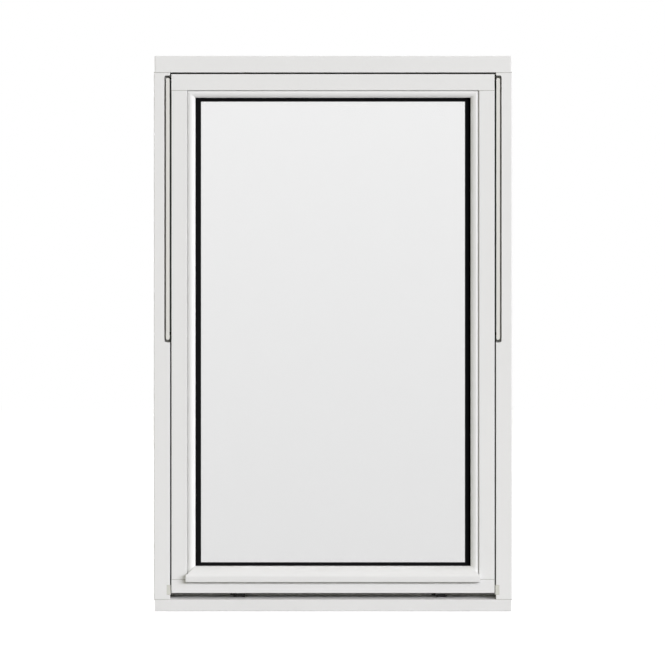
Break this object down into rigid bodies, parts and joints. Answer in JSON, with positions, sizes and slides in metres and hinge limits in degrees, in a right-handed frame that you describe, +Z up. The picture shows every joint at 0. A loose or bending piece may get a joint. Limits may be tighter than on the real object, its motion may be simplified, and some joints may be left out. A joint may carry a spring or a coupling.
{
  "type": "top-hung window",
  "caption": "Outward-opening top-hung window: white timber frame, glazed sash with beads and drip bead, side arms, jamb guide rails and an inside lever handle.",
  "frame": {"origin": "middle of the sill's underside, at mid depth of the frame", "axes": "+X to the right seen from outside, -Y toward outside, +Z up"},
  "size_m": [0.89, 0.129, 1.38],
  "materials": {
    "painted_timber": "opaque white paint",
    "float_glass": "clear polished",
    "black_rubber": "matte",
    "black_spacer": "matte",
    "coated_rail": "white powder coat",
    "zinc_steel": "zinc plated",
    "black_steel": "black passivated",
    "grey_nylon": "matte",
    "satin_handle": "satin"
  },
  "bodies": {
    "frame": {"head": "painted_timber", "jamb_left": "painted_timber", "jamb_right": "painted_timber", "sill": "painted_timber", "frame_gasket": "black_rubber", "guide_rail_left": "coated_rail", "guide_rail_right": "coated_rail", "jamb_pivot_left": "black_steel", "jamb_pivot_right": "black_steel", "guide_block_left": "grey_nylon", "guide_block_right": "grey_nylon", "keeper_left": "black_steel", "keeper_right": "black_steel"},
    "arm_left": {"arm_left": "black_steel"},
    "arm_right": {"arm_right": "black_steel"},
    "sash": {"sash_top_rail": "painted_timber", "sash_bottom_rail": "painted_timber", "sash_stile_left": "painted_timber", "sash_stile_right": "painted_timber", "glazing_bead_top": "painted_timber", "glazing_bead_left": "painted_timber", "glazing_bead_right": "painted_timber", "drip_bead": "painted_timber", "outer_pane": "float_glass", "inner_pane": "float_glass", "spacer_frame": "black_spacer", "edge_seal": "black_rubber", "outer_glazing_tape": "black_rubber", "inner_glazing_tape": "black_rubber", "setting_blocks": "grey_nylon", "corner_bracket_left": "black_steel", "corner_bracket_right": "black_steel", "side_bracket_left": "black_steel", "side_bracket_right": "black_steel", "lock_faceplate": "zinc_steel", "lock_gearbox": "zinc_steel", "handle_rose": "satin_handle"},
    "shoe_left": {"shoe_left": "grey_nylon"},
    "shoe_right": {"shoe_right": "grey_nylon"},
    "handle": {"handle_lever": "satin_handle", "handle_spindle": "zinc_steel"},
    "lock_rod": {"drive_rod": "zinc_steel", "locking_cams": "black_steel"}
  },
  "joints": [
    {"name": "arm_left_turn", "type": "hinge", "parent": "frame", "child": "arm_left", "pos_m": [-0.4033, -0.04125, 0.69005], "axis": [1, 0, 0], "range_deg": [0, 80]},
    {"name": "sash_swing", "type": "hinge", "parent": "arm_left", "child": "sash", "pos_m": [-0.4033, -0.04125, 1.00503], "axis": [-1, 0, 0], "range_deg": [0, 160]},
    {"name": "arm_right_turn", "type": "hinge", "parent": "frame", "child": "arm_right", "pos_m": [0.4033, -0.04125, 0.69005], "axis": [1, 0, 0], "range_deg": [0, 80]},
    {"name": "shoe_left_turn", "type": "hinge", "parent": "sash", "child": "shoe_left", "pos_m": [-0.4104, -0.04125, 1.32], "axis": [1, 0, 0], "range_deg": [0, 80]},
    {"name": "shoe_right_turn", "type": "hinge", "parent": "sash", "child": "shoe_right", "pos_m": [0.4104, -0.04125, 1.32], "axis": [1, 0, 0], "range_deg": [0, 80]},
    {"name": "handle_turn", "type": "hinge", "parent": "sash", "child": "handle", "pos_m": [0, 0.02, 0.0771], "axis": [0, -1, 0], "range_deg": [0, 180]},
    {"name": "rod_slide", "type": "slide", "parent": "sash", "child": "lock_rod", "axis": [1, 0, 0], "range_m": [0, 0.02]}
  ],
  "couplings": [
    {"joint": "arm_left_turn", "follows": "sash_swing", "ratio": 0.5},
    {"joint": "arm_right_turn", "follows": "sash_swing", "ratio": 0.5},
    {"joint": "shoe_left_turn", "follows": "sash_swing", "ratio": 0.5},
    {"joint": "shoe_right_turn", "follows": "sash_swing", "ratio": 0.5},
    {"joint": "rod_slide", "follows": "handle_turn", "m_per_rad": 0.0063661}
  ]
}
